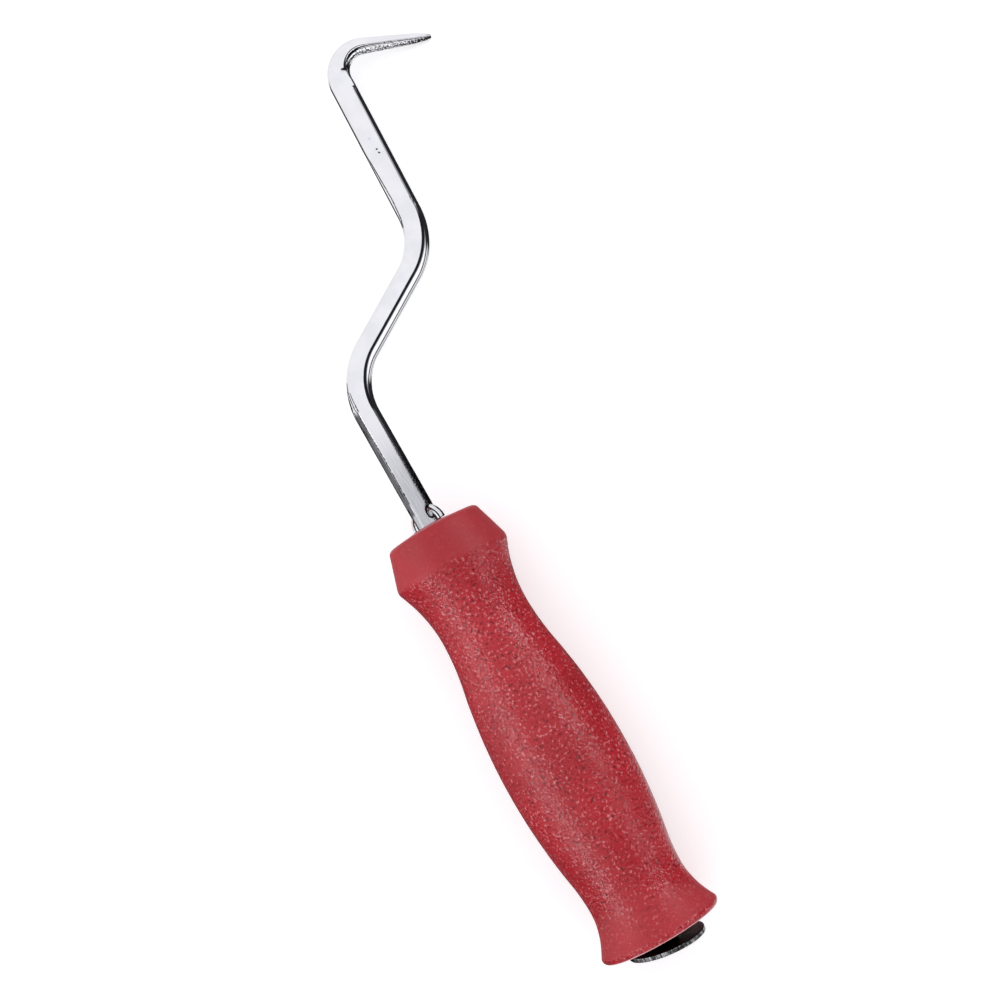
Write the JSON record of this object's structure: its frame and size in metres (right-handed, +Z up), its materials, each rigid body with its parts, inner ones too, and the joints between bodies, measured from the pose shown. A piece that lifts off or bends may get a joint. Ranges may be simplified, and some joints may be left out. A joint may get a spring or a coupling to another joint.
{
  "type": "tie wire twister",
  "caption": "Hand hook for twisting tie wire: a cranked, pointed steel rod that spins freely in a waisted moulded grip, kept by stop ears and a loose end washer.",
  "frame": {"origin": "on the spin axis, half way along the grip", "axes": "+Y along the spin axis towards the hook, +Z up from the table that the tool lies on, +X to the side that the hook lies on"},
  "size_m": [0.073, 0.2237, 0.0301],
  "materials": {
    "grip_plastic": "red moulded plastic with a fine spark-eroded grain, and a smoother cone above the collar",
    "plated_steel": "bright zinc or nickel plating over drawn steel, with small pits, scratches and press marks",
    "washer_steel": "dark faces and a bright sheared edge"
  },
  "bodies": {
    "grip": {"grip": "grip_plastic"},
    "hook": {"hook_rod": "plated_steel"},
    "washer": {"end_washer": "washer_steel"}
  },
  "joints": [
    {"name": "hook_spin", "type": "hinge", "parent": "grip", "child": "hook", "pos_m": [0, 0, 0], "axis": [0, 1, 0], "continuous": true},
    {"name": "washer_spin", "type": "hinge", "parent": "hook", "child": "washer", "pos_m": [0, -0.0562, 0], "axis": [0, 1, 0], "continuous": true}
  ]
}
